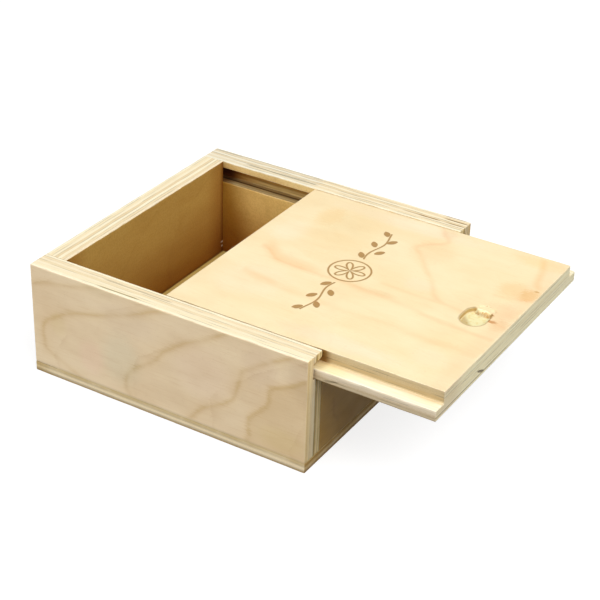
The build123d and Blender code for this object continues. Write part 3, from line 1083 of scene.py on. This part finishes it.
def sliding_lid(material):
    """The lid: a T section carried along X.  The grid over the recess is taken out of its top, and rings join
    its border to the recess."""
    half_tongue = lid_high[1]
    bottom, top = lid_low[2], lid_high[2]
    lid_arris, tongue_arris, rebate_arris = 0.35, 0.7, 0.2
    corners = [
        (-half_tongue, bottom), (half_tongue, bottom),
        (half_tongue, tongue_top), (panel_half_width, tongue_top),
        (panel_half_width, top), (-panel_half_width, top),
        (-panel_half_width, tongue_top), (-half_tongue, tongue_top),
    ]
    panel_edge = 4             # the number of the edge along the panel's top
    radii = [lid_arris, lid_arris, tongue_arris, rebate_arris, lid_arris, lid_arris, rebate_arris, tongue_arris]
    block = 9.6                # half the side of the finer grid about the recess
    along, drawn_in = stations(lid_low[0], lid_high[0], lid_arris,
                               (recess_centre[0] - block, recess_centre[0] + block))
    edge_long = 2 * panel_half_width - 2 * lid_arris
    over = np.array([recess_centre[1] + block, recess_centre[1] - block])
    over = (panel_half_width - lid_arris - over) / edge_long
    fractions = spread(beside_arc / edge_long, 1 - beside_arc / edge_long, point_pitch / edge_long, over,
                       recess_pitch / edge_long)
    outline, arris = section(corners, uneven_radii(radii, along, 400), drawn_in, (panel_edge, fractions))
    rings, points = outline.shape[:2]
    line = np.broadcast_to(along[:, None], (rings, points))
    flat = np.stack([line, outline[..., 0], outline[..., 1]], -1).reshape(-1, 3)

    across, height = outline[rings // 2].T
    on_top = np.abs(height - top) < 1e-6
    columns = np.flatnonzero(on_top & (np.abs(across - recess_centre[1]) < block - 0.2))
    rows = np.flatnonzero(np.abs(along - recess_centre[0]) < block - 0.2)
    first, last, left, right = rows[0], rows[-1], columns[0], columns[-1]
    quads, caps = tube_faces(rings, points)
    keep = np.ones((rings - 1, points), bool)
    keep[first:last, left:right] = False
    border = np.concatenate([
        first * points + np.arange(left, right), np.arange(first, last) * points + right,
        last * points + np.arange(right, left, -1), np.arange(last, first, -1) * points + left,
    ])

    plan, heights, rim = recess_rings(flat[border, :2] - recess_centre)
    heights, recess_marks = torn_out(plan, heights, rim)
    inside = np.concatenate([plan + recess_centre, (heights + top)[..., None]], -1).reshape(-1, 3)
    places = np.vstack([flat, inside, [*recess_centre, top - recess_depth]])
    loops = np.vstack([border, len(flat) + np.arange(heights.size).reshape(heights.shape)])
    beside = np.roll(loops, -1, 1)
    stitched = np.stack([loops[:-1], beside[:-1], beside[1:], loops[1:]], -1).reshape(-1, 4)
    fan = np.stack([loops[-1], beside[-1], np.full(len(border), len(places) - 1)], -1)

    # vertices inside the block belong to no face any more, so they are left out
    used = np.zeros(len(places), bool)
    used[np.concatenate([quads[keep].ravel(), *caps, stitched.ravel(), fan.ravel()])] = True
    number = np.cumsum(used) - 1
    faces = [face for part in (quads[keep], caps, stitched, fan) for face in number[np.array(part)].tolist()]
    worn = np.maximum(arris[None], end_wear(drawn_in, lid_arris)[:, None]).ravel()
    marks = {
        label: np.concatenate([worn if label == "arris" else np.zeros(len(flat)), values.ravel(),
                               [label == "hollow"]])[used]
        for label, values in recess_marks.items()
    }
    piece = board("sliding_lid_board", "lid", material, places[used], faces, marks)
    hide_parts("sliding_lid")


sliding_lid(lid_birch.done())

# ---- Floor, light and camera -----------------------------------------------------------------------


def studio_surface(nodes, output, lit, shown):
    """One shader for the rays that light the box, and another for those that show the background itself:
    camera, glossy and transmission rays."""
    path = nodes.add("ShaderNodeLightPath")
    camera, glossy, through = (
        Field(nodes, path.outputs[name]) for name in ("Is Camera Ray", "Is Glossy Ray", "Is Transmission Ray")
    )
    chosen = nodes.add("ShaderNodeMixShader")
    for place, value in zip(chosen.inputs, (camera.most(glossy).most(through), lit, shown)):
        nodes.feed(place, value)
    nodes.shader(output, Surface=chosen.outputs[0])


floor_mesh = bpy.data.meshes.new("floor")
reach = 6.0
floor_mesh.from_pydata([(-reach, -reach, 0), (reach, -reach, 0), (reach, reach, 0), (-reach, reach, 0)], [],
                       [(0, 1, 2, 3)])
floor = bpy.data.objects.new("floor", floor_mesh)
floor.location.z = -0.05 * MM
bpy.context.collection.objects.link(floor)
floor_material = bpy.data.materials.new("pale floor")
floor_material.use_nodes = True
floor_material.node_tree.nodes.clear()
nodes = Nodes(floor_material.node_tree)
white = nodes.add("ShaderNodeAddShader")
nodes.feed(white.inputs[0], nodes.shader("ShaderNodeEmission", Strength=0.80))
nodes.feed(white.inputs[1], nodes.shader("ShaderNodeBsdfDiffuse", Color=(0.32, 0.32, 0.32, 1)))
bounce = nodes.shader("ShaderNodeBsdfDiffuse", Color=(0.12, 0.12, 0.12, 1))
studio_surface(nodes, "ShaderNodeOutputMaterial", bounce, white.outputs[0])
floor_mesh.materials.append(floor_material)

scene = bpy.context.scene
scene.view_settings.view_transform = "Standard"
world = bpy.data.worlds.new("studio")
scene.world = world
world.use_nodes = True
world.node_tree.nodes.clear()
nodes = Nodes(world.node_tree)
sky = nodes.split(nodes.add("ShaderNodeTexCoord").outputs["Generated"])[2]
fill_strength = sky.ease(-0.1, 1.0) * 0.52 + 0.09
fill = nodes.shader("ShaderNodeBackground", Color=(0.98, 0.99, 1.0, 1), Strength=fill_strength)
backdrop = nodes.shader("ShaderNodeBackground", Color=(1, 1, 1, 1), Strength=1.0)
studio_surface(nodes, "ShaderNodeOutputWorld", fill, backdrop)


def softbox(name, direction, distance, size, power):
    """A square area light that stands off in a direction and looks at the box."""
    light = bpy.data.lights.new(name, "AREA")
    light.size, light.energy = size, power
    lamp = bpy.data.objects.new(name, light)
    direction = Vector(direction).normalized()
    lamp.location = direction * distance + Vector((0.02, 0, 0.03))
    lamp.rotation_mode = "QUATERNION"
    lamp.rotation_quaternion = direction.to_track_quat("Z", "Y")
    bpy.context.collection.objects.link(lamp)


softbox("overhead softbox", (0.58, -0.22, 0.79), 1.3, 1.0, 13.3)
softbox("front softbox", (-0.35, -0.90, 0.22), 1.3, 0.9, 8.1)

camera_place = Vector((0.29057, -0.45603, 0.33793))
azimuth, elevation, roll = (math.radians(angle) for angle in (30.715, 30.344, 1.838))
ahead = Vector((-math.sin(azimuth) * math.cos(elevation), math.cos(azimuth) * math.cos(elevation),
                -math.sin(elevation)))
level_right = Vector((math.cos(azimuth), math.sin(azimuth), 0))
level_up = level_right.cross(ahead)
right = math.cos(roll) * level_right + math.sin(roll) * level_up
up = math.cos(roll) * level_up - math.sin(roll) * level_right
lens = bpy.data.cameras.new("camera")
lens.sensor_width = 36.0
lens.lens = 97.07
lens.clip_start, lens.clip_end = 0.01, 50.0
camera = bpy.data.objects.new("camera", lens)
bpy.context.collection.objects.link(camera)
camera.matrix_world = Matrix.Translation(camera_place) @ Matrix((right, up, -ahead)).transposed().to_4x4()
scene.camera = camera
